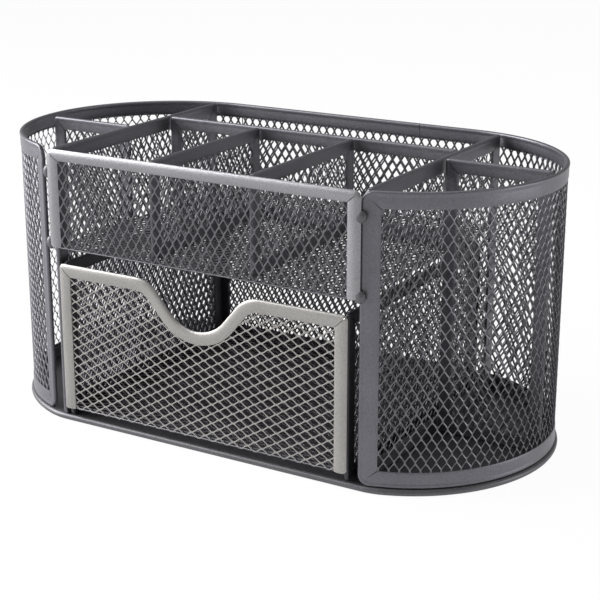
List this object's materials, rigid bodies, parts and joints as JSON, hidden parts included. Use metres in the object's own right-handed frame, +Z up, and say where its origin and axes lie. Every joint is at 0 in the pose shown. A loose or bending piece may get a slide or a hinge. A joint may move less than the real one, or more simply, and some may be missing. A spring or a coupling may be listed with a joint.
{
  "type": "pen stand with drawer",
  "caption": "Oval desk organizer of framed steel mesh: pen cups at both ends, a divided tray between them and a notched drawer that slides out below it.",
  "frame": {"origin": "centre of the bounding box's underside: below the middle of the stand, on the surface it rests on", "axes": "+X along the stand's length to the right as seen from the drawer's side, +Y from the drawer to the back, +Z up"},
  "size_m": [0.2224, 0.115, 0.107],
  "materials": {
    "wall_channels": "satin metallic powder coat",
    "panel_channels": "satin metallic powder coat",
    "tray_channel": "satin metallic powder coat",
    "drawer_front_channel": "satin metallic powder coat",
    "steel_mesh": "satin metallic powder coat",
    "drawer_front_mesh": "satin metallic powder coat",
    "base_sheet": "satin metallic powder coat"
  },
  "bodies": {
    "stand": {"base_plate": "base_sheet", "rim_channel": "wall_channels", "foot_channel": "wall_channels", "right_post": "wall_channels", "left_post": "wall_channels", "right_end_mesh": "steel_mesh", "left_end_mesh": "steel_mesh", "back_mesh": "steel_mesh", "tray_front_frame": "tray_channel", "tray_front_mesh": "steel_mesh", "tray_floor_mesh": "steel_mesh", "weld_beads": "tray_channel", "left_partition_frame": "panel_channels", "left_partition_mesh": "steel_mesh", "right_partition_frame": "panel_channels", "right_partition_mesh": "steel_mesh", "left_end_divider_frame": "panel_channels", "left_end_divider_mesh": "steel_mesh", "right_end_divider_frame": "panel_channels", "right_end_divider_mesh": "steel_mesh", "middle_divider_frame": "panel_channels", "middle_divider_mesh": "steel_mesh", "left_tray_divider_frame": "panel_channels", "left_tray_divider_mesh": "steel_mesh", "right_tray_divider_frame": "panel_channels", "right_tray_divider_mesh": "steel_mesh"},
    "drawer": {"drawer_front_frame": "drawer_front_channel", "drawer_front_mesh": "drawer_front_mesh", "drawer_left_side_frame": "panel_channels", "drawer_left_side_mesh": "steel_mesh", "drawer_right_side_frame": "panel_channels", "drawer_right_side_mesh": "steel_mesh", "drawer_back_frame": "panel_channels", "drawer_back_mesh": "steel_mesh", "drawer_floor_mesh": "steel_mesh"}
  },
  "joints": [
    {"name": "drawer_slide", "type": "slide", "parent": "stand", "child": "drawer", "axis": [0, -1, 0], "range_m": [0, 0.085]}
  ]
}
